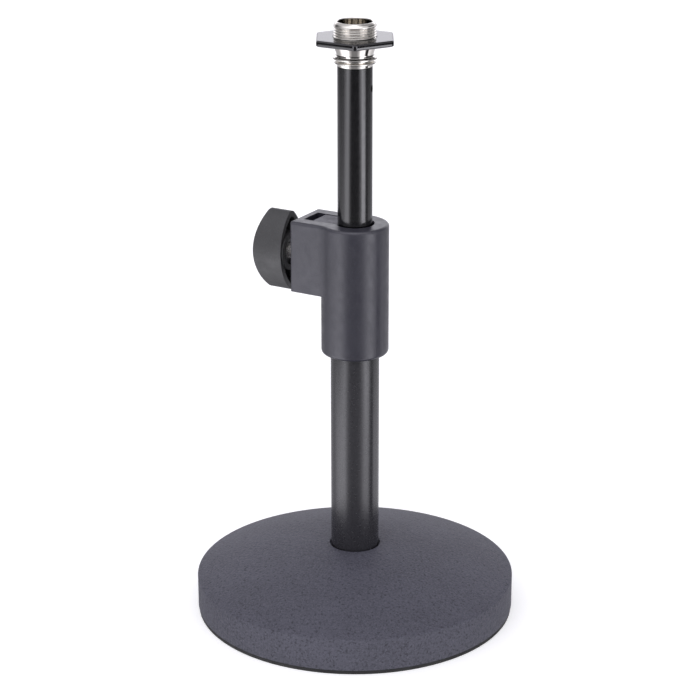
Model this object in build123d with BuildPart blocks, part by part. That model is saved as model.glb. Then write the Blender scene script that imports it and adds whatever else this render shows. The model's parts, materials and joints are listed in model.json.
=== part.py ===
"""Desk stand for a microphone: heavy round base, fixed lower tube, side-clamped height clutch, sliding
upper tube and a 5/8 inch threaded adapter with its lock nut. Millimetres, +Z up, origin at the centre of
the underside. The clamp knob points along -X."""

import math
import os

from build123d import *

# ---- base ----
base_radius = 62.1
rim_rounding = 0.7
base_rim_z = 14.3           # height of the crisp rim edge
base_dome_z = 26.6          # height that the domed top would reach on the axis
rubber_lip = 1.5            # thickness of rubber below the casting
rubber_outer = 61.8
rubber_inner = 56.5
rubber_tongue = (57.5, 59.5)
rubber_tongue_height = 2.0
underside_depth = 4.5       # recess in the casting's underside
underside_radii = (18.5, 54.5)
underside_ribs = 8
rib_width = 3.0
bolt_well_radius = 13.5
bolt_well_top = 11.5
tube_seat_z = 14.5          # the lower tube stands on this floor
seat_mouth_radius = 9.75    # shallow relief round the tube where it enters the dome
seat_mouth_z = 25.0

# ---- lower tube and what holds it ----
lower_radius = 9.3
lower_bore = 7.8
lower_top = 128.0
plug_top = 26.0
bolt_radius = 5.0           # M10
bolt_head_flats = 17.0
bolt_head_height = 6.4
bolt_tip_z = 25.5
flat_washer_thickness = 2.0
spring_washer_thickness = 2.2
flat_washer_radius = 10.5
spring_washer_radius = 9.0

# ---- clutch collar ----
collar_radius = 12.86
collar_bottom = 105.8
collar_top = 157.0
collar_edge = 1.6           # rounding of the lower rim
top_edge = 1.1              # rounding of the upper rim, lug included
mouth_radius = 7.4
mouth_depth = 3.0
lug_end = 22.5              # end face, from the tube's axis
lug_half_width = 10.5
lug_bottom = 129.4
pocket_end = 19.3           # inner face of the lug's end wall
pocket_half_width = 5.2
pocket_floor = 132.5
nut_shelf_end = 16.05       # the nut's shelf reaches in this far
stop_ring_height = 3.0
lug_rounding = 1.2
lug_blend = 9.0             # hollow rounding where the lug meets the collar
set_screw_z = 113.0
set_screw_radius = 2.0      # M4
set_screw_length = 3.2
set_screw_socket = 2.0

# ---- clamp ----
knob_axis_z = 142.1
nut_width = 10.0            # M6 thin square nut
nut_thickness = 3.0
nut_outer_face = 19.2
screw_radius = 3.0          # M6
screw_tip_radius = 2.0
screw_shoulder = 15.3       # where the thread ends, from the tube's axis
screw_tip = 12.55
shoe_back = 14.7
shoe_top_back = 15.6
shoe_top = 156.8
shoe_step_z = 148.4

# ---- knob ----
knob_rim = 27.9             # open inner side, from the tube's axis
knob_side_radius = 20.4
knob_half_width = 8.4
knob_tip_radius = 3.0
knob_side_height = 9.3      # thickness at the two tips
knob_crown = 3.4            # extra thickness at the middle
knob_crown_radius = 37.5
knob_wall = 1.9
knob_hollow = 6.0
hub_radius = 7.6
hub_proud = 0.5
hub_recess_radius = 5.6
hub_recess_depth = 3.0
head_flats = 10.0
head_height = 4.0
head_floor = 6.9            # depth of the head's seat from the rim plane
cap_radius = 6.3
cap_floor = 11.0
knob_edge = 0.6
rib_below_rim = 1.5
rib_pair_width = 7.4
rib_thickness = 1.2
retaining_washer_thickness = 1.0

# ---- upper tube, its bush and the adapter ----
upper_radius = 6.55
upper_bore = 5.35
upper_bottom = 30.2
upper_top = 216.9
bush_bottom = 32.2
bush_height = 8.0
circlip_thickness = 1.0
circlip_radius = 7.3
groove_radius = 6.1
cross_hole_z = 208.8
cross_hole_radius = 1.3
cross_hole_angle = 15.0     # degrees from +X about +Z
thread_radius = 7.9375      # 5/8 inch
thread_bottom = 221.4
thread_top = 232.0
relief_bottom = 226.0       # shallow groove under the lock nut, below the stud's free end
relief_top = 227.8
relief_radius = 7.5
adapter_top = 233.4
adapter_bore = 6.4
adapter_floor = 222.8       # bottom of the adapter's wide bore, above the grooved neck
adapter_hole = 3.0          # lighter hole through the spigot
spigot_bottom = 198.9
lock_nut_flats = 28.2
lock_nut_bottom = 225.45
lock_nut_thickness = 2.3
lock_nut_corner = 1.6
pin_bore_radius = 0.7
pin_half_length = 6.0

# ---- clearances ----
slip = 0.05                 # radial, shaft in hole
slide_gap = 0.08            # radial, sliding fit
apart = 0.2                 # pieces that only lie side by side


def revolved(points):
    """The closed (radius, height) outline turned about the Z axis, into the part being built."""
    with BuildSketch(Plane.XZ) as outline:
        with BuildLine():
            Polyline(*points, close=True)
        make_face()
    revolve(outline.sketch, axis=Axis.Z)


def hexagon(flats, bottom, height, bevel=0.0):
    """A hexagonal prism about the Z axis, with its corners turned off by a cone at its lower end."""
    with BuildSketch(Plane.XY.offset(bottom)) as section:
        RegularPolygon(flats / 2, 6, major_radius=False)
    extrude(section.sketch, amount=height)
    if bevel:
        corner = flats / math.sqrt(3)
        revolved_cut([(corner - bevel, bottom), (corner + 1, bottom), (corner + 1, bottom + bevel)])


def revolved_cut(points):
    """The closed (radius, height) outline turned about the Z axis, out of the part being built."""
    with BuildSketch(Plane.XZ) as outline:
        with BuildLine():
            Polyline(*points, close=True)
        make_face()
    revolve(outline.sketch, axis=Axis.Z, mode=Mode.SUBTRACT)


def ring(inner, outer, bottom, height):
    """A plain ring (or a disc, with no inner radius) about the Z axis, added to the part being built."""
    with BuildSketch(Plane.XY.offset(bottom)) as section:
        Circle(outer)
        if inner:
            Circle(inner, mode=Mode.SUBTRACT)
    extrude(section.sketch, amount=height)


def save(builder, name):
    builder.part.label = name
    export_step(builder.part, f"parts/{name}.step")


os.makedirs("parts", exist_ok=True)

# ============================== base ==============================

# The domed top is a circular arc from the axis down to the rim.
dome_rise = base_dome_z - base_rim_z
dome_radius = (base_radius**2 + dome_rise**2) / (2 * dome_rise)
dome_middle = (
    base_radius / 2,
    base_dome_z - dome_radius + math.sqrt(dome_radius**2 - base_radius**2 / 4),
)
recess_middle = sum(underside_radii) / 2
recess_width = underside_radii[1] - underside_radii[0]

with BuildPart() as base_casting:
    with BuildSketch(Plane.XZ) as profile:
        with BuildLine():
            Line((0, bolt_well_top), (0, base_dome_z))
            ThreePointArc((0, base_dome_z), dome_middle, (base_radius, base_rim_z))
            Polyline(
                (base_radius, base_rim_z),
                (base_radius, rubber_lip),
                (bolt_well_radius, rubber_lip),
                (bolt_well_radius, bolt_well_top),
                (0, bolt_well_top),
            )
        make_face()
        fillet(profile.vertices().sort_by_distance((base_radius, base_rim_z))[0], rim_rounding)
    revolve(axis=Axis.Z)
    # seat for the tube, and the bolt's clearance hole
    with BuildSketch(Plane.XY.offset(tube_seat_z)):
        Circle(lower_radius + slip)
    extrude(amount=base_dome_z, mode=Mode.SUBTRACT)
    with BuildSketch(Plane.XY.offset(seat_mouth_z)):
        Circle(seat_mouth_radius)
    extrude(amount=base_dome_z, mode=Mode.SUBTRACT)
    with BuildSketch(Plane.XY.offset(bolt_well_top)):
        Circle(bolt_radius + apart)
    extrude(amount=base_dome_z, mode=Mode.SUBTRACT)
    # ribbed recess and the rubber ring's groove in the underside
    with BuildSketch(Plane.XY.offset(rubber_lip)):
        Circle(underside_radii[1])
        Circle(underside_radii[0], mode=Mode.SUBTRACT)
        with PolarLocations(recess_middle, underside_ribs):
            Rectangle(2 * recess_width, rib_width, mode=Mode.SUBTRACT)
    extrude(amount=underside_depth, mode=Mode.SUBTRACT)
    with BuildSketch(Plane.XY.offset(rubber_lip)):
        Circle(rubber_tongue[1] + slip)
        Circle(rubber_tongue[0] - slip, mode=Mode.SUBTRACT)
    extrude(amount=rubber_tongue_height + slip, mode=Mode.SUBTRACT)
save(base_casting, "base_casting")

with BuildPart() as base_rubber_ring:
    ring(rubber_inner, rubber_outer, 0, rubber_lip)
    ring(rubber_tongue[0], rubber_tongue[1], rubber_lip, rubber_tongue_height)
save(base_rubber_ring, "base_rubber_ring")

# ============================== bolt stack under the base ==============================

flat_washer_z = bolt_well_top - flat_washer_thickness
spring_washer_z = flat_washer_z - spring_washer_thickness
bolt_head_z = spring_washer_z - bolt_head_height

with BuildPart() as base_flat_washer:
    ring(bolt_radius + apart, flat_washer_radius, flat_washer_z, flat_washer_thickness)
save(base_flat_washer, "base_flat_washer")

with BuildPart() as base_spring_washer:
    ring(bolt_radius + apart, spring_washer_radius, spring_washer_z, spring_washer_thickness)
    # the slanting split, cut through the ring's +X side
    with BuildSketch(Plane.YZ):
        with Locations((0, spring_washer_z + spring_washer_thickness / 2)):
            Rectangle(1.2, 4 * spring_washer_thickness, rotation=20)
    extrude(amount=spring_washer_radius + 1, mode=Mode.SUBTRACT)
save(base_spring_washer, "base_spring_washer")

with BuildPart() as base_bolt:
    hexagon(bolt_head_flats, bolt_head_z, bolt_head_height, bevel=0.8)
    ring(0, bolt_radius, spring_washer_z, bolt_tip_z - spring_washer_z)
    chamfer(base_bolt.edges().sort_by(Axis.Z)[-1], 0.8)
save(base_bolt, "base_bolt")

with BuildPart() as tube_foot_plug:
    ring(bolt_radius + slip, lower_bore - slip, tube_seat_z, plug_top - tube_seat_z)
save(tube_foot_plug, "tube_foot_plug")

with BuildPart() as lower_tube:
    ring(lower_bore, lower_radius, tube_seat_z, lower_top - tube_seat_z)
save(lower_tube, "lower_tube")

# ============================== clutch ==============================

shoulder_z = lower_top + stop_ring_height + 2 * apart
lug_height = collar_top - lug_bottom

with BuildPart() as clutch_body:
    ring(0, collar_radius, collar_bottom, lug_bottom - collar_bottom)
    # the collar and its lug in plan, with a hollow rounding where they meet
    with BuildSketch(Plane.XY.offset(lug_bottom)) as plan:
        Circle(collar_radius)
        with Locations((-lug_end / 2, 0)):
            Rectangle(lug_end, 2 * lug_half_width)
        fillet(plan.vertices().filter_by(lambda v: v.X < -lug_end + 1), lug_rounding)
        fillet(plan.vertices().filter_by(lambda v: -lug_end / 2 < v.X < 0), lug_blend)
    extrude(amount=lug_height)
    fillet(clutch_body.faces().sort_by(Axis.Z)[-1].edges(), top_edge)
    fillet(clutch_body.faces().sort_by(Axis.Z)[0].edges(), collar_edge)
    # bore for the lower tube, the stop ring's seat, the sliding bore and the wider mouth
    revolved_cut(
        [
            (0, collar_bottom),
            (lower_radius + slip, collar_bottom),
            (lower_radius + slip, shoulder_z),
            (upper_radius + slide_gap, shoulder_z),
            (upper_radius + slide_gap, collar_top - mouth_depth),
            (mouth_radius, collar_top - mouth_depth),
            (mouth_radius, collar_top),
            (0, collar_top),
        ]
    )
    # open-topped pocket for the nut and the shoe, with a shelf under the nut
    with BuildSketch(Plane.XY.offset(pocket_floor)):
        with Locations((-pocket_end / 2, 0)):
            Rectangle(pocket_end, 2 * pocket_half_width)
    extrude(amount=collar_top - pocket_floor, mode=Mode.SUBTRACT)
    with BuildSketch(Plane.XY.offset(pocket_floor - 1)):
        with Locations((-(pocket_end + nut_shelf_end) / 2, 0)):
            Rectangle(pocket_end - nut_shelf_end, 2 * pocket_half_width + 1)
    extrude(amount=knob_axis_z - nut_width / 2 - slip - pocket_floor + 1)
    # the clamp screw's hole through the end wall
    with BuildSketch(Plane.YZ.offset(-lug_end - 1)):
        with Locations((0, knob_axis_z)):
            Circle(screw_radius + apart)
    extrude(amount=lug_end + 1 - pocket_end + 1, mode=Mode.SUBTRACT)
    # hole for the set screw at the back
    with BuildSketch(Plane.XZ.offset(-lower_radius)):
        with Locations((0, set_screw_z)):
            Circle(set_screw_radius + slip)
    extrude(amount=-collar_radius, mode=Mode.SUBTRACT)
save(clutch_body, "clutch_body")

with BuildPart() as clutch_stop_ring:
    ring(upper_radius + slide_gap, lower_radius - slip, lower_top + apart, stop_ring_height)
save(clutch_stop_ring, "clutch_stop_ring")

with BuildPart() as clutch_set_screw:
    with BuildSketch(Plane.XZ.offset(-lower_radius - slip)):
        with Locations((0, set_screw_z)):
            Circle(set_screw_radius)
    extrude(amount=-set_screw_length)
    with BuildSketch(Plane.XZ.offset(-lower_radius - slip - set_screw_length)):
        with Locations((0, set_screw_z)):
            RegularPolygon(set_screw_socket / 2, 6, major_radius=False)
    extrude(amount=set_screw_length / 2, mode=Mode.SUBTRACT)
save(clutch_set_screw, "clutch_set_screw")

# ============================== clamp nut, screw and shoe ==============================

with BuildPart() as clamp_nut:
    with BuildSketch(Plane.YZ.offset(-nut_outer_face)):
        with Locations((0, knob_axis_z)):
            Rectangle(nut_width, nut_width)
            Circle(screw_radius + slip, mode=Mode.SUBTRACT)
    extrude(amount=nut_thickness)
    chamfer(clamp_nut.edges().filter_by(Axis.X), 0.6)
save(clamp_nut, "clamp_nut")

with BuildPart() as pressure_shoe:
    # side outline in XZ: the upper part reaches back over the nut
    with BuildSketch(Plane.XZ.offset(-nut_width / 2)):
        with BuildLine():
            Polyline(
                (0, pocket_floor + apart),
                (-shoe_back, pocket_floor + apart),
                (-shoe_back, shoe_step_z),
                (-shoe_top_back, shoe_step_z),
                (-shoe_top_back, shoe_top),
                (0, shoe_top),
                close=True,
            )
        make_face()
    extrude(amount=nut_width)
    # hollow face that grips the tube
    with BuildSketch(Plane.XY.offset(pocket_floor)):
        with BuildLine():
            CenterArc((0, 0), upper_radius + slip, 90, 180)
            Polyline((0, -upper_radius - slip), (1, -upper_radius - slip), (1, upper_radius + slip),
                     (0, upper_radius + slip))
        make_face()
    extrude(amount=collar_top - pocket_floor, mode=Mode.SUBTRACT)
    # socket for the screw's tip
    with BuildSketch(Plane.YZ.offset(-shoe_back)):
        with Locations((0, knob_axis_z)):
            Circle(screw_tip_radius + slip)
    extrude(amount=shoe_back - screw_tip + slip, mode=Mode.SUBTRACT)
save(pressure_shoe, "pressure_shoe")

# The knob and its screw are drawn on a plane that faces out along -X: local y is up.
knob_plane = Plane(origin=(-knob_rim, 0, knob_axis_z), x_dir=(0, -1, 0), z_dir=(-1, 0, 0))
knob_height = knob_side_height + knob_crown


def eye_outline(inset=0.0):
    """The knob's pointed oval, drawn that much smaller all round: two side arcs from tip to tip."""
    side = knob_side_radius - inset
    half_width = knob_half_width - inset
    tip = math.sqrt(side**2 - (side - half_width) ** 2)
    with BuildLine() as outline:
        ThreePointArc((0, -tip), (half_width, 0), (0, tip))
        ThreePointArc((0, tip), (-half_width, 0), (0, -tip))
    make_face(outline.edges())


with BuildPart() as knob_body:
    with BuildSketch(knob_plane) as eye:
        eye_outline()
        fillet(eye.vertices(), knob_tip_radius)
    extrude(amount=knob_height)
    # arched outer face: a cylinder across the knob
    with BuildSketch(Plane.XZ.offset(-2 * knob_half_width)):
        with Locations((-knob_rim - knob_height + knob_crown_radius, knob_axis_z)):
            Circle(knob_crown_radius)
    extrude(amount=4 * knob_half_width, mode=Mode.INTERSECT)
    fillet(knob_body.faces().sort_by(Axis.X)[0].edges(), knob_edge)
    # hollow inner side
    with BuildSketch(knob_plane) as cavity:
        eye_outline(inset=knob_wall)
        fillet(cavity.vertices(), knob_tip_radius - 1)
    extrude(amount=knob_hollow, mode=Mode.SUBTRACT)
    # ribs from the hub to the two tips, and the hub itself
    with BuildSketch(knob_plane.offset(rib_below_rim)) as ribs:
        eye_outline(inset=knob_wall / 2)
        Rectangle(rib_pair_width, 4 * knob_half_width, mode=Mode.INTERSECT)
        Rectangle(rib_pair_width - 2 * rib_thickness, 4 * knob_half_width, mode=Mode.SUBTRACT)
    extrude(amount=knob_hollow - rib_below_rim)
    with BuildSketch(knob_plane.offset(-hub_proud)):
        Circle(hub_radius)
    extrude(amount=hub_proud + knob_hollow)
    with BuildSketch(knob_plane.offset(-hub_proud)):
        Circle(hub_recess_radius)
    extrude(amount=hub_recess_depth, mode=Mode.SUBTRACT)
    # hole for the screw, hexagonal pocket for its head and the seat of the cap
    with BuildSketch(knob_plane):
        Circle(screw_radius + slip)
    extrude(amount=knob_height, mode=Mode.SUBTRACT)
    with BuildSketch(knob_plane.offset(head_floor)):
        RegularPolygon(head_flats / 2 + slip, 6, major_radius=False)
    extrude(amount=knob_height, mode=Mode.SUBTRACT)
    with BuildSketch(knob_plane.offset(cap_floor)):
        Circle(cap_radius + slip)
    extrude(amount=knob_height, mode=Mode.SUBTRACT)
save(knob_body, "knob_body")

with BuildPart() as knob_cap:
    with BuildSketch(knob_plane.offset(cap_floor + slip)):
        Circle(cap_radius)
    extrude(amount=knob_height)
    with BuildSketch(Plane.XZ.offset(-2 * knob_half_width)):
        with Locations((-knob_rim - knob_height + knob_crown_radius, knob_axis_z)):
            Circle(knob_crown_radius)
    extrude(amount=4 * knob_half_width, mode=Mode.INTERSECT)
save(knob_cap, "knob_cap")

with BuildPart() as clamp_screw:
    with BuildSketch(knob_plane.offset(head_floor)):
        RegularPolygon(head_flats / 2, 6, major_radius=False)
    extrude(amount=head_height)
    with BuildSketch(knob_plane.offset(head_floor)):
        Circle(screw_radius)
    extrude(amount=-(head_floor + knob_rim - screw_shoulder))
    with BuildSketch(Plane.YZ.offset(-screw_shoulder)):
        with Locations((0, knob_axis_z)):
            Circle(screw_tip_radius)
    extrude(amount=screw_shoulder - screw_tip - slip)
save(clamp_screw, "clamp_screw")

with BuildPart() as knob_retaining_washer:
    with BuildSketch(knob_plane.offset(hub_recess_depth - hub_proud)):
        Circle(hub_recess_radius - slip)
        Circle(screw_radius + slip, mode=Mode.SUBTRACT)
    extrude(amount=-retaining_washer_thickness)
save(knob_retaining_washer, "knob_retaining_washer")

# ============================== upper tube and its sliding bush ==============================

bush_top = bush_bottom + bush_height
groove_heights = [bush_bottom - apart - circlip_thickness, bush_top + apart]
cross_direction = (
    math.cos(math.radians(cross_hole_angle)),
    math.sin(math.radians(cross_hole_angle)),
    0,
)
cross_plane = Plane(origin=(0, 0, cross_hole_z), z_dir=cross_direction)

with BuildPart() as upper_tube:
    ring(upper_bore, upper_radius, upper_bottom, upper_top - upper_bottom)
    for groove_z in groove_heights:
        with BuildSketch(Plane.XY.offset(groove_z - slip)):
            Circle(upper_radius + 1)
            Circle(groove_radius, mode=Mode.SUBTRACT)
        extrude(amount=circlip_thickness + 2 * slip, mode=Mode.SUBTRACT)
    with BuildSketch(cross_plane):
        Circle(cross_hole_radius)
    extrude(amount=2 * upper_radius, both=True, mode=Mode.SUBTRACT)
save(upper_tube, "upper_tube")

with BuildPart() as tube_guide_bush:
    ring(upper_radius + slip, lower_bore - slide_gap, bush_bottom, bush_height)
    chamfer(tube_guide_bush.edges().filter_by(GeomType.CIRCLE).group_by(SortBy.RADIUS)[-1], 0.5)
save(tube_guide_bush, "tube_guide_bush")

with BuildPart() as bush_circlips:
    for groove_z in groove_heights:
        ring(groove_radius + slip, circlip_radius, groove_z, circlip_thickness)
    # both clips are open on their +X side
    with BuildSketch(Plane.XY.offset(upper_bottom)):
        with Locations((circlip_radius, 0)):
            Rectangle(circlip_radius, 4.0)
    extrude(amount=bush_height + 10, mode=Mode.SUBTRACT)
save(bush_circlips, "bush_circlips")

# ============================== adapter, its pin and the lock nut ==============================

with BuildPart() as threaded_adapter:
    revolved(
        [
            (adapter_hole, spigot_bottom),
            (upper_bore - slip, spigot_bottom),
            (upper_bore - slip, upper_top),
            (upper_radius, upper_top),
            (upper_radius, 217.9),
            (7.6, 218.1),
            (7.6, 218.7),
            (6.4, 218.9),
            (6.4, 219.5),
            (8.2, 219.8),
            (8.2, 220.4),
            (6.4, 220.7),
            (6.4, thread_bottom - 0.2),
            (thread_radius, thread_bottom),
            (thread_radius, relief_bottom),
            (relief_radius, relief_bottom),
            (relief_radius, relief_top),
            (thread_radius, relief_top),
            (thread_radius, thread_top),
            (7.3, 233.05),
            (6.8, adapter_top),
            (adapter_bore, adapter_top - 0.2),
            (adapter_bore, adapter_floor),
            (adapter_hole, adapter_floor),
        ]
    )
    with BuildSketch(cross_plane):
        Circle(cross_hole_radius)
    extrude(amount=2 * upper_radius, both=True, mode=Mode.SUBTRACT)
save(threaded_adapter, "threaded_adapter")

with BuildPart() as adapter_pin:
    with BuildSketch(cross_plane):
        Circle(cross_hole_radius - slip)
        Circle(pin_bore_radius, mode=Mode.SUBTRACT)
    extrude(amount=pin_half_length, both=True)
save(adapter_pin, "adapter_pin")

with BuildPart() as hex_lock_nut:
    hexagon(lock_nut_flats, lock_nut_bottom, lock_nut_thickness)
    fillet(hex_lock_nut.edges().filter_by(Axis.Z), lock_nut_corner)
    ring_bore = thread_radius + slip
    with BuildSketch(Plane.XY.offset(lock_nut_bottom)):
        Circle(ring_bore)
    extrude(amount=lock_nut_thickness, mode=Mode.SUBTRACT)
    chamfer(hex_lock_nut.faces().filter_by(Axis.Z).edges().filter_by(GeomType.CIRCLE, reverse=True), 0.25)
save(hex_lock_nut, "hex_lock_nut")
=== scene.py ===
"""Studio scene of the desk microphone stand. Outlines are (radius, height) in millimetres about the
row's Z axis."""

import json
import math

import bmesh
import bpy
from mathutils import Matrix, Vector

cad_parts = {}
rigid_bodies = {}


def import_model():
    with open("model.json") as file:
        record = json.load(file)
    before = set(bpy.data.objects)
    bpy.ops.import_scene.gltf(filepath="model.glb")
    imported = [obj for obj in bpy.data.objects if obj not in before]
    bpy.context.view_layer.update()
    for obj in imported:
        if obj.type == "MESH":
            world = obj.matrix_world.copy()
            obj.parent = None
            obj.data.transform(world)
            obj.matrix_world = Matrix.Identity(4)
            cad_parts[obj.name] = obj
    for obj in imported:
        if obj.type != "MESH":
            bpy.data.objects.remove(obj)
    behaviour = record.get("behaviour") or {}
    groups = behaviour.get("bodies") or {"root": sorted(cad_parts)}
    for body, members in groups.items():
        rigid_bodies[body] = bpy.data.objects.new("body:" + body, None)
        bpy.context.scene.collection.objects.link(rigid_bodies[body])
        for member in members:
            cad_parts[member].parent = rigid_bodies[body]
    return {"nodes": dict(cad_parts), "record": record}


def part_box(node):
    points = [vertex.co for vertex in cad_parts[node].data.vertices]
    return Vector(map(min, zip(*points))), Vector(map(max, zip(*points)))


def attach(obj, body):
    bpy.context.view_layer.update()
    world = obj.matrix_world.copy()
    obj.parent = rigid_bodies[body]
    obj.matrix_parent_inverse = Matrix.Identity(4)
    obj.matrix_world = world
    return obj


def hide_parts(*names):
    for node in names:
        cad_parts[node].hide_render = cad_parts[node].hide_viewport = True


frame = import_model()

for leftover in list(bpy.data.objects):
    if leftover.name in ("Cube", "Light", "Camera"):
        bpy.data.objects.remove(leftover)
bpy.context.view_layer.update()

MM = 0.001
scene = bpy.context.scene
nodes = frame["nodes"]


def top(node):
    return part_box(node)[1].z / MM


def bottom(node):
    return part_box(node)[0].z / MM


def radius(node):
    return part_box(node)[1].x / MM


# ============================== materials ==============================

class Finish:
    """A procedural material, built up layer by layer. Scales are per metre, depths are in metres."""

    def __init__(self, name, rough, metallic=0.0, specular=0.5):
        self.mat = bpy.data.materials.new(name)
        self.mat.use_nodes = True
        self.tree = self.mat.node_tree
        self.shader = self.tree.nodes["Principled BSDF"]
        self.shader.inputs["Metallic"].default_value = metallic
        self.shader.inputs["Specular IOR Level"].default_value = specular
        self.shader.inputs["Roughness"].default_value = rough
        self.coords = self.tree.nodes.new("ShaderNodeTexCoord")
        self.normal = None

    def noise(self, scale, detail=4.0, stretch=(1, 1, 1), roughness=0.55):
        spread = self.tree.nodes.new("ShaderNodeMapping")
        spread.inputs["Scale"].default_value = stretch
        self.tree.links.new(self.coords.outputs["Object"], spread.inputs["Vector"])
        tex = self.tree.nodes.new("ShaderNodeTexNoise")
        tex.inputs["Scale"].default_value = scale
        tex.inputs["Detail"].default_value = detail
        tex.inputs["Roughness"].default_value = roughness
        self.tree.links.new(spread.outputs["Vector"], tex.inputs["Vector"])
        return tex.outputs["Fac"]

    def colours(self, fac, *stops):
        """Colour ramp: (position, (r, g, b)) stops, over the noise's middle range."""
        ramp = self.tree.nodes.new("ShaderNodeValToRGB")
        while len(ramp.color_ramp.elements) < len(stops):
            ramp.color_ramp.elements.new(0.5)
        for element, (place, colour) in zip(ramp.color_ramp.elements, stops):
            element.position = place
            element.color = (*colour, 1.0)
        self.tree.links.new(fac, ramp.inputs["Fac"])
        return ramp.outputs["Color"]

    def mix(self, fac, first, second, low=0.0, high=1.0):
        """first where fac is low, second where it is high."""
        span = self.tree.nodes.new("ShaderNodeMapRange")
        span.inputs["From Min"].default_value = low
        span.inputs["From Max"].default_value = high
        self.tree.links.new(fac, span.inputs["Value"])
        node = self.tree.nodes.new("ShaderNodeMix")
        node.data_type = "RGBA"
        self.tree.links.new(span.outputs["Result"], node.inputs["Factor"])
        self.tree.links.new(first, node.inputs[6])
        self.tree.links.new(second, node.inputs[7])
        return node.outputs[2]

    def colour(self, socket):
        self.tree.links.new(socket, self.shader.inputs["Base Color"])
        return self

    def roughness(self, fac, low, high, from_low=0.3, from_high=0.7):
        span = self.tree.nodes.new("ShaderNodeMapRange")
        span.inputs["From Min"].default_value = from_low
        span.inputs["From Max"].default_value = from_high
        span.inputs["To Min"].default_value = low
        span.inputs["To Max"].default_value = high
        self.tree.links.new(fac, span.inputs["Value"])
        self.tree.links.new(span.outputs["Result"], self.shader.inputs["Roughness"])
        return self

    def bump(self, fac, depth, strength=1.0):
        node = self.tree.nodes.new("ShaderNodeBump")
        node.inputs["Strength"].default_value = strength
        node.inputs["Distance"].default_value = depth
        self.tree.links.new(fac, node.inputs["Height"])
        if self.normal is not None:
            self.tree.links.new(self.normal, node.inputs["Normal"])
        self.normal = node.outputs["Normal"]
        self.tree.links.new(self.normal, self.shader.inputs["Normal"])
        return self


def grey(value, tint=(1.0, 1.0, 1.0)):
    return tuple(value * t for t in tint)


COOL = (0.99, 0.97, 1.12)
BLUE = (0.97, 0.965, 1.22)


def powder_coat(name, dark, light, speck, rough, depth, specular=0.5, tint=BLUE, pitted=0.9):
    """Fine textured powder coat: a broad drift of tone, small light specks and a pebbled surface."""
    f = Finish(name, rough, specular=specular)
    drift = f.colours(f.noise(45, 3), (0.35, grey(dark, tint)), (0.65, grey(light, tint)))
    specks = f.colours(f.noise(2600, 2), (0.3, grey(dark * 0.75, tint)), (0.75, grey(speck, tint)))
    mottle = f.mix(f.noise(1500, 3), drift, specks, 0.42, 0.68)
    pits = f.colours(f.noise(1250, 2), (0.36, grey(dark * pitted, tint)), (0.64, grey(light * 1.15, tint)))
    f.colour(f.mix(f.noise(1000, 2), pits, mottle, 0.36, 0.60))
    f.roughness(f.noise(900, 3), rough - 0.03, rough + 0.03)
    f.bump(f.noise(1050, 2), depth)
    f.bump(f.noise(420, 2), depth * 0.8, 0.6)
    return f.mat


def moulded(name, dark, light, rough, grain=2200, depth=0.00002, tint=COOL):
    """Matte moulded nylon: fine spark-eroded grain and a slight cloudiness."""
    f = Finish(name, rough, specular=0.75)
    cloud = f.colours(f.noise(60, 4), (0.35, grey(dark, tint)), (0.65, grey(light, tint)))
    pits = f.colours(f.noise(grain, 2), (0.3, grey(dark * 0.85, tint)), (0.7, grey(light * 1.2, tint)))
    f.colour(f.mix(f.noise(grain * 0.5, 3), cloud, pits, 0.4, 0.7))
    f.roughness(f.noise(300, 3), rough - 0.06, rough + 0.08)
    f.bump(f.noise(grain, 2), depth)
    return f.mat


def metal(name, dark, light, rough, stretch, marks=0.000004, tint=(1, 1, 1), scale=900, spread=0.08):
    """Bare or plated metal with turning or drawing marks, stretched along one direction."""
    f = Finish(name, rough, metallic=1.0)
    f.colour(f.colours(f.noise(120, 4), (0.35, grey(dark, tint)), (0.65, grey(light, tint))))
    f.roughness(f.noise(scale * 0.5, 4, stretch), max(rough - spread, 0.03), rough + spread)
    f.bump(f.noise(scale, 3, stretch), marks)
    return f.mat


def gloss_paint(name, dark, light, rough, specular, depth):
    """Smooth black lacquer: faint orange peel, and tiny dust specks in the colour."""
    f = Finish(name, rough, specular=specular)
    body = f.colours(f.noise(80, 3), (0.35, grey(dark, COOL)), (0.65, grey(light, COOL)))
    dust = f.colours(f.noise(3000, 2), (0.5, grey(light, COOL)), (0.8, grey(light * 2.5, COOL)))
    f.colour(f.mix(f.noise(1800, 2), body, dust, 0.6, 0.75))
    f.roughness(f.noise(500, 4), rough - 0.02, rough + 0.03)
    f.bump(f.noise(450, 2), depth)
    return f.mat


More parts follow.
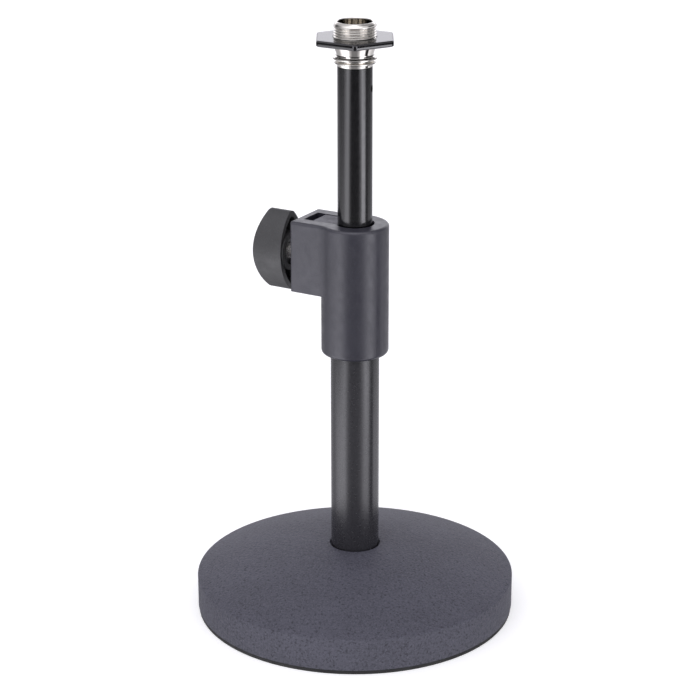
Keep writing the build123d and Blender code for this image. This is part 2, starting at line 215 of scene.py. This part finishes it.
MATERIALS = {
    "base_coat": powder_coat("base_coat", 0.070, 0.098, 0.18, 0.58, 0.00036, 0.25, pitted=0.62),
    "black_rubber": moulded("black_rubber", 0.010, 0.016, 0.75, 1200, 0.00004, (1, 1, 1)),
    "zinc_steel": metal("zinc_steel", 0.50, 0.66, 0.30, (1, 1, 6), tint=(1, 0.98, 0.94)),
    "plug_steel": metal("plug_steel", 0.28, 0.40, 0.38, (1, 1, 8)),
    "tube_coat": powder_coat("tube_coat", 0.024, 0.030, 0.04, 0.25, 0.0000015, 0.8, COOL),
    "clutch_plastic": moulded("clutch_plastic", 0.028, 0.034, 0.34, 2200, 0.000012, (0.98, 0.96, 1.35)),
    "bush_plastic": moulded("bush_plastic", 0.55, 0.65, 0.42, 1600, 0.00001, (1, 1, 0.96)),
    "black_steel": metal("black_steel", 0.03, 0.05, 0.45, (1, 1, 1)),
    "shoe_plastic": moulded("shoe_plastic", 0.09, 0.16, 0.6, 1400, 0.00009),
    "knob_plastic": moulded("knob_plastic", 0.030, 0.040, 0.5, 1800, 0.00003, (1, 1, 1.03)),
    "spring_steel": metal("spring_steel", 0.16, 0.26, 0.40, (1, 1, 1)),
    "tube_gloss": gloss_paint("tube_gloss", 0.003, 0.005, 0.17, 1.0, 0.000002),
    "bright_nickel": metal(
        "bright_nickel", 0.66, 0.78, 0.07, (1, 1, 14), 0.0000015, (1, 0.965, 0.90), spread=0.03
    ),
    "nut_gloss": gloss_paint("nut_gloss", 0.003, 0.005, 0.07, 0.9, 0.000002),
}

for entry in frame["record"]["subparts"]:
    mesh = nodes[entry["node"]].data
    mesh.materials.clear()
    mesh.materials.append(MATERIALS[entry["material_slot"]])

# ============================== mesh helpers ==============================

def rounded(corners, steps=4):
    """A closed outline of (r, z) or (r, z, radius) corners, with the given corners rounded."""
    out = []
    count = len(corners)
    for i, corner in enumerate(corners):
        here = Vector(corner[:2])
        reach = corner[2] if len(corner) > 2 else 0.0
        if not reach:
            out.append(tuple(here))
            continue
        before = (Vector(corners[i - 1][:2]) - here).normalized()
        after = (Vector(corners[(i + 1) % count][:2]) - here).normalized()
        half = before.angle(after) / 2
        back = reach / math.tan(half)
        centre = here + (before + after).normalized() * (reach / math.sin(half))
        start = here + before * back - centre
        turn = math.pi - 2 * half
        side = 1.0 if before.x * after.y - before.y * after.x < 0 else -1.0
        for k in range(steps + 1):
            angle = side * turn * k / steps
            c, s = math.cos(angle), math.sin(angle)
            out.append((centre.x + c * start.x - s * start.y, centre.y + s * start.x + c * start.y))
    return out


def piece(name, verts, faces, body, material, stands_for=(), sharp=28.0, place=None):
    """A closed mesh from points in millimetres, smooth except at its sharp edges, riding on a body."""
    mesh = bpy.data.meshes.new(name)
    mesh.from_pydata([Vector(v) * MM for v in verts], [], faces)
    if place is not None:
        mesh.transform(place)
    bm = bmesh.new()
    bm.from_mesh(mesh)
    bmesh.ops.recalc_face_normals(bm, faces=bm.faces)
    bm.to_mesh(mesh)
    bm.free()
    mesh.shade_smooth()
    mesh.set_sharp_from_angle(angle=math.radians(sharp))
    mesh.materials.append(MATERIALS[material])
    obj = bpy.data.objects.new(name, mesh)
    scene.collection.objects.link(obj)
    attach(obj, body)
    if stands_for:
        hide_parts(*stands_for)
    return obj


def turned(outline, around=192, shape=None):
    """(points, faces) of a closed outline turned about Z. shape(r, z, angle) may change a point's radius."""
    verts, rows, faces = [], [], []
    for r, z in outline:
        if r < 1e-6:
            rows.append([len(verts)] * around)
            verts.append((0.0, 0.0, z))
            continue
        row = []
        for k in range(around):
            angle = 2 * math.pi * k / around
            use = shape(r, z, angle) if shape else r
            row.append(len(verts))
            verts.append((use * math.cos(angle), use * math.sin(angle), z))
        rows.append(row)
    for i, row in enumerate(rows):
        following = rows[(i + 1) % len(rows)]
        for k in range(around):
            n = (k + 1) % around
            face = []
            for v in (row[k], row[n], following[n], following[k]):
                if v not in face:
                    face.append(v)
            if len(face) > 2:
                faces.append(face)
    return verts, faces


def stretch_of(r, low, high, step):
    """Outline points up a straight wall, close enough together to carry a thread."""
    count = max(2, round((high - low) / step))
    return [(r, low + (high - low) * k / count) for k in range(count + 1)]


def thread(crest, low, high, pitch, depth, fade=0.5):
    """A right-handed thread for turned(): cuts helical grooves into the wall at the crest radius."""
    def shape(r, z, angle):
        if abs(r - crest) > 0.01 or not low <= z <= high:
            return r
        phase = (z / pitch - angle / (2 * math.pi)) % 1.0
        cut = min(max((abs(2 * phase - 1) - 0.12) / 0.76, 0.0), 1.0)
        cut = cut * 0.6 + 0.4 * cut * cut * (3 - 2 * cut)
        ends = min((z - low) / (fade * pitch), (high - z) / (fade * pitch), 1.0)
        return r - depth * cut * ends
    return shape


def hexagon(flats, corner, edge):
    """A rounded hexagon for turned(): points near the edge radius follow the hexagon's outline."""
    apothem = flats / 2
    middle = (apothem - corner) / math.cos(math.pi / 6)
    tangent = math.atan((apothem - corner) * math.tan(math.pi / 6) / apothem)

    def shape(r, z, angle):
        if r < edge:
            return r
        turn = abs((angle + math.pi / 6) % (math.pi / 3) - math.pi / 6)
        turn = abs(math.pi / 6 - turn)
        if turn <= tangent:
            reach = apothem / math.cos(turn)
        else:
            psi = math.pi / 6 - turn
            reach = middle * math.cos(psi) + math.sqrt(corner**2 - (middle * math.sin(psi)) ** 2)
        return reach - (apothem - r)
    return shape


# ============================== base ==============================

base_r = radius("base_casting")
base_low = bottom("base_casting")
rim_z = 14.3
RIBS = 8
seat_r, seat_floor = 9.35, 14.5     # the socket that the lower tube stands in
mouth_r, mouth_z = 9.75, 25.0       # shallow relief round the tube
apex_z = 26.6
rise = apex_z - rim_z
dome_r = (base_r**2 + rise**2) / (2 * rise)


def dome(r):
    return apex_z - dome_r + math.sqrt(dome_r**2 - r * r)


dome_points = [(r, dome(r)) for r in (12, 15, 19, 24, 29, 34, 39, 44, 49, 54, 58, 60)]
base_outline = rounded(
    [(seat_r, seat_floor), (seat_r, mouth_z), (mouth_r, mouth_z), (mouth_r, dome(mouth_r), 0.25)]
    + [*dome_points, (base_r, rim_z, 0.35)]
    + [(base_r, base_low, 0.5), (59.55, base_low), (59.55, 3.55), (57.45, 3.55), (57.45, base_low)]
    + [(54.5, base_low, 0.5), (54.5, 6.0, 1.2), (18.5, 6.0, 1.2), (18.5, base_low, 0.5)]
    + [(13.5, base_low, 0.5), (13.5, 11.5), (5.2, 11.5), (5.2, seat_floor)]
)
base_mesh = turned(base_outline, 360)
for k in range(RIBS):
    spoke = Matrix.Rotation(math.radians(360 / RIBS * k), 3, "Z")
    offset = len(base_mesh[0])
    corners = [(r, y, z) for r in (18.2, 54.8) for y in (-1.5, 1.5) for z in (base_low, 6.3)]
    base_mesh[0].extend(tuple(spoke @ Vector(c)) for c in corners)
    box_faces = ((0, 1, 3, 2), (4, 6, 7, 5), (0, 4, 5, 1), (2, 3, 7, 6), (0, 2, 6, 4), (1, 5, 7, 3))
    base_mesh[1].extend([v + offset for v in f] for f in box_faces)
piece("base_shell", *base_mesh, "stand", "base_coat", ["base_casting"])

rubber_in, rubber_out = 56.5, radius("base_rubber_ring")
grip = []
for middle in (57.7, 59.1, 60.5):
    grip += [(middle + 0.35, 0.0), (middle + 0.2, 0.35), (middle - 0.2, 0.35), (middle - 0.35, 0.0)]
rubber_outline = rounded(
    [(rubber_in, 0.0, 0.3), (rubber_in, 1.5, 0.2), (57.5, 1.5), (57.5, 3.5), (59.5, 3.5), (59.5, 1.5)]
    + [(rubber_out, 1.5, 0.2), (rubber_out, 0.0, 0.35)] + sorted(grip, reverse=True)
)
piece("rubber_ring", *turned(rubber_outline, 240), "stand", "black_rubber", ["base_rubber_ring"])

# ============================== tubes ==============================

tube_r = radius("lower_tube")
piece(
    "lower_tube_wall",
    *turned(rounded([(7.8, seat_floor), (tube_r, seat_floor, 0.3), (tube_r, top("lower_tube"), 0.4),
                     (7.8, top("lower_tube"), 0.3)])),
    "stand", "tube_coat", ["lower_tube"],
)

# ============================== threaded adapter ==============================

PITCH = 25.4 / 27           # 27 threads per inch
THREAD_DEPTH = 0.45
stud_r = 7.9375             # 5/8 inch over the crests
thread_low, thread_high = 224.6, 232.1
bore_r, bore_floor, bore_mouth = 6.4, 222.8, 233.4
adapter_outline = rounded(
    [(3.0, 198.9, 0.4), (5.3, 198.9, 0.4), (5.3, 216.9), (6.55, 216.9, 0.15), (6.55, 217.9, 0.2)]
    + [(7.6, 218.0, 0.2), (7.6, 218.75, 0.25), (6.4, 218.9, 0.1), (6.4, 219.5, 0.1), (8.2, 219.7, 0.25)]
    + [(8.2, 220.4, 0.25), (6.9, 220.65, 0.15), (6.9, 221.6, 0.8), (7.6, 223.6, 1.5)]
    + stretch_of(stud_r, thread_low, thread_high, PITCH / 10)
    + [(7.6, 232.75, 0.6), (6.95, bore_mouth, 0.5), (6.55, bore_mouth, 0.12), (bore_r, 233.2, 0.1)]
    + [(bore_r, bore_floor, 0.6), (3.0, bore_floor, 0.2)],
    5,
)
piece(
    "adapter_body",
    *turned(adapter_outline, 160, thread(stud_r, thread_low, thread_high, PITCH, THREAD_DEPTH)),
    "mast", "bright_nickel", ["threaded_adapter"], sharp=50,
)

nut_low, nut_high = bottom("hex_lock_nut"), top("hex_lock_nut")
nut_outline = rounded(
    [(7.99, nut_low + 0.25), (8.24, nut_low), (12.6, nut_low), (13.6, nut_low, 0.3)]
    + [(14.1, nut_low + 0.35, 0.25), (14.1, nut_high - 0.35, 0.25)]
    + [(13.6, nut_high, 0.3), (12.6, nut_high), (8.24, nut_high)]
    + [(7.99, nut_high - 0.25)]
)
piece(
    "lock_nut", *turned(nut_outline, 360, hexagon(28.2, 1.6, 12.9)),
    "lock_nut", "nut_gloss", ["hex_lock_nut"], sharp=40,
)

# ============================== clamp screw ==============================

axis_z = 142.1
screw_r, screw_pitch = 3.0, 1.0     # M6
screw_low, screw_high = 15.6, 34.2  # the threaded stretch, out from the tube's axis
to_knob = Matrix.Translation((0, 0, axis_z * MM)) @ Matrix.Rotation(-math.pi / 2, 4, "Y")
screw_outline = rounded(
    [(0.0, 12.6), (1.9, 12.6, 0.3), (1.9, 15.0), (2.5, 15.1), (2.95, 15.5)]
    + stretch_of(screw_r, screw_low, screw_high, screw_pitch / 10)
    + [(3.0, 34.8), (4.97, 34.8), (4.97, 38.8, 0.4), (0.0, 38.8)]
)
screw_thread = thread(screw_r, screw_low, screw_high, screw_pitch, 0.5)
head = hexagon(10.0, 0.3, 4.4)


def screw_shape(r, z, angle):
    return head(r, z, angle) if z > screw_high + 0.5 else screw_thread(r, z, angle)


piece("clamp_screw_body", *turned(screw_outline, 96, screw_shape), "knob", "zinc_steel",
      ["clamp_screw"], sharp=50, place=to_knob)

# ============================== stage, light and camera ==============================

floor_mesh = bpy.data.meshes.new("floor")
floor_mesh.from_pydata([(-6, -6, 0), (6, -6, 0), (6, 6, 0), (-6, 6, 0)], [], [(0, 1, 2, 3)])
floor = bpy.data.objects.new("floor", floor_mesh)
scene.collection.objects.link(floor)
paper = bpy.data.materials.new("paper")
paper.use_nodes = True
for setting, value in (
    ("Base Color", (0.82, 0.82, 0.82, 1)),
    ("Roughness", 0.9),
    ("Specular IOR Level", 0.1),
    ("Emission Color", (1, 1, 1, 1)),
    ("Emission Strength", 0.45),
):
    paper.node_tree.nodes["Principled BSDF"].inputs[setting].default_value = value
floor_mesh.materials.append(paper)

# The studio is pale at the horizon and lit from overhead, most on the lens's side. Below the horizon,
# where only reflections in upright surfaces look, it has tall soft panels to either side with black
# between them. The floor is left out of those reflections, so that the panels show.
world = bpy.data.worlds.new("studio")
scene.world = world
world.use_nodes = True
tree = world.node_tree
PANEL_MAX = 8.0
OVERHEAD = 0.84
LENS_SIN, LENS_COS = 0.5, 0.866     # of the lens's 30 degrees about Z
# upward part of the direction, from where one zone of the surround gives way to the next
LOW_TO_MIDDLE = (-0.31, -0.27)      # collar and lower tube, then upper tube
MIDDLE_TO_HIGH = (-0.225, -0.205)   # then adapter and nut
PANELS_TO_HORIZON = (-0.12, -0.07)
HORIZON_TO_BACKDROP = (0.1, 0.14)
BACKDROP_TO_OVERHEAD = (0.35, 0.6)


def link(source, target):
    tree.links.new(source, target)


def maths(operation, *values):
    node = tree.nodes.new("ShaderNodeMath")
    node.operation = operation
    for i, value in enumerate(values):
        if isinstance(value, (int, float)):
            node.inputs[i].default_value = value
        else:
            link(value, node.inputs[i])
    return node.outputs[0]


def panels(turn, *stops):
    """Brightness round the horizon: (degrees to the right of the lens, radiance) stops."""
    ramp = tree.nodes.new("ShaderNodeValToRGB")
    while len(ramp.color_ramp.elements) < len(stops):
        ramp.color_ramp.elements.new(0.5)
    for element, (degrees, value) in zip(ramp.color_ramp.elements, stops):
        element.position = degrees / 360 + 0.5
        element.color = (*grey(value / PANEL_MAX, (0.985, 0.975, 1.04)), 1.0)
    link(turn, ramp.inputs["Fac"])
    return ramp.outputs["Color"]


def blend_at(height, low, high, below, above):
    """below under the low height of the direction, above over the high one."""
    span = tree.nodes.new("ShaderNodeMapRange")
    span.inputs["From Min"].default_value = low
    span.inputs["From Max"].default_value = high
    link(height, span.inputs["Value"])
    node = tree.nodes.new("ShaderNodeMix")
    node.data_type = "RGBA"
    link(span.outputs["Result"], node.inputs["Factor"])
    link(below, node.inputs[6])
    link(above, node.inputs[7])
    return node.outputs[2]


direction = tree.nodes.new("ShaderNodeTexCoord").outputs["Generated"]
parts = tree.nodes.new("ShaderNodeSeparateXYZ")
link(direction, parts.inputs[0])
dx, dy, dz = parts.outputs
toward = maths("ADD", maths("MULTIPLY", dx, LENS_SIN), maths("MULTIPLY", dy, -LENS_COS))
right = maths("ADD", maths("MULTIPLY", dx, LENS_COS), maths("MULTIPLY", dy, LENS_SIN))
turn = maths("ADD", maths("DIVIDE", maths("ARCTAN2", right, toward), 2 * math.pi), 0.5)

high_band = panels(
    turn, (-180, 0.9), (-150, 0.5), (-132, 0.03), (-100, 0.05), (-85, 0.16), (-58, 0.05), (-53, 2.3),
    (-34, 2.3), (-27, 0.4), (-20, 0.02), (20, 0.02), (27, 0.4), (32, 2.4), (53, 2.4), (58, 0.05),
    (76, 0.03), (125, 0.02), (150, 0.3), (180, 0.9),
)
middle_band = panels(
    turn, (-180, 0.8), (-130, 0.5), (-100, 0.4), (-76, 0.45), (-66, 1.9), (-44, 1.9), (-36, 0.4), (-28, 0.07),
    (30, 0.07), (40, 0.3), (49, 4.0), (67, 4.0), (76, 0.4), (84, 0.3), (110, 0.35), (140, 0.6), (180, 0.8),
)
low_band = panels(
    turn, (-180, 0.8), (-140, 0.5), (-112, 0.6), (-96, 1.6), (-74, 2.3), (-50, 2.5), (-36, 0.7), (-20, 0.25),
    (14, 0.25), (28, 0.6), (44, 1.9), (66, 1.9), (75, 0.5), (79, 0.02), (94, 0.02), (99, 1.3), (130, 0.7),
    (180, 0.8),
)
backdrop = panels(
    turn, (-180, 1.6), (-150, 1.5), (-128, 0.15), (-90, 0.08), (-75, 0.9), (-35, 0.9), (-22, 0.15),
    (22, 0.15), (35, 0.9), (72, 0.9), (85, 0.08), (128, 0.15), (150, 1.5), (180, 1.6),
)
overhead = panels(
    turn, (-180, 0.5 * OVERHEAD), (-90, 0.95 * OVERHEAD), (-30, 2.2 * OVERHEAD), (30, 1.9 * OVERHEAD),
    (90, 0.45 * OVERHEAD), (180, 0.5 * OVERHEAD),
)
horizon = panels(turn, (-180, 1.0), (180, 1.0))
below = blend_at(dz, *LOW_TO_MIDDLE, low_band, middle_band)
below = blend_at(dz, *MIDDLE_TO_HIGH, below, high_band)
above = blend_at(dz, *BACKDROP_TO_OVERHEAD, backdrop, overhead)
above = blend_at(dz, *HORIZON_TO_BACKDROP, horizon, above)
surround = blend_at(dz, *PANELS_TO_HORIZON, below, above)
background = tree.nodes["Background"]
link(surround, background.inputs["Color"])
background.inputs["Strength"].default_value = PANEL_MAX
floor.visible_glossy = False

camera_data = bpy.data.cameras.new("camera")
camera_data.lens = 115
camera_data.sensor_width = 36
camera_data.shift_x = -0.00714
camera_data.clip_start, camera_data.clip_end = 0.05, 50
camera = bpy.data.objects.new("camera", camera_data)
scene.collection.objects.link(camera)
camera.location = (0.4033, -0.6985, 0.3922)
camera.rotation_euler = (math.radians(90 - 19.51), 0, math.radians(30))
scene.camera = camera
scene.view_settings.view_transform = "Standard"

bpy.context.view_layer.update()
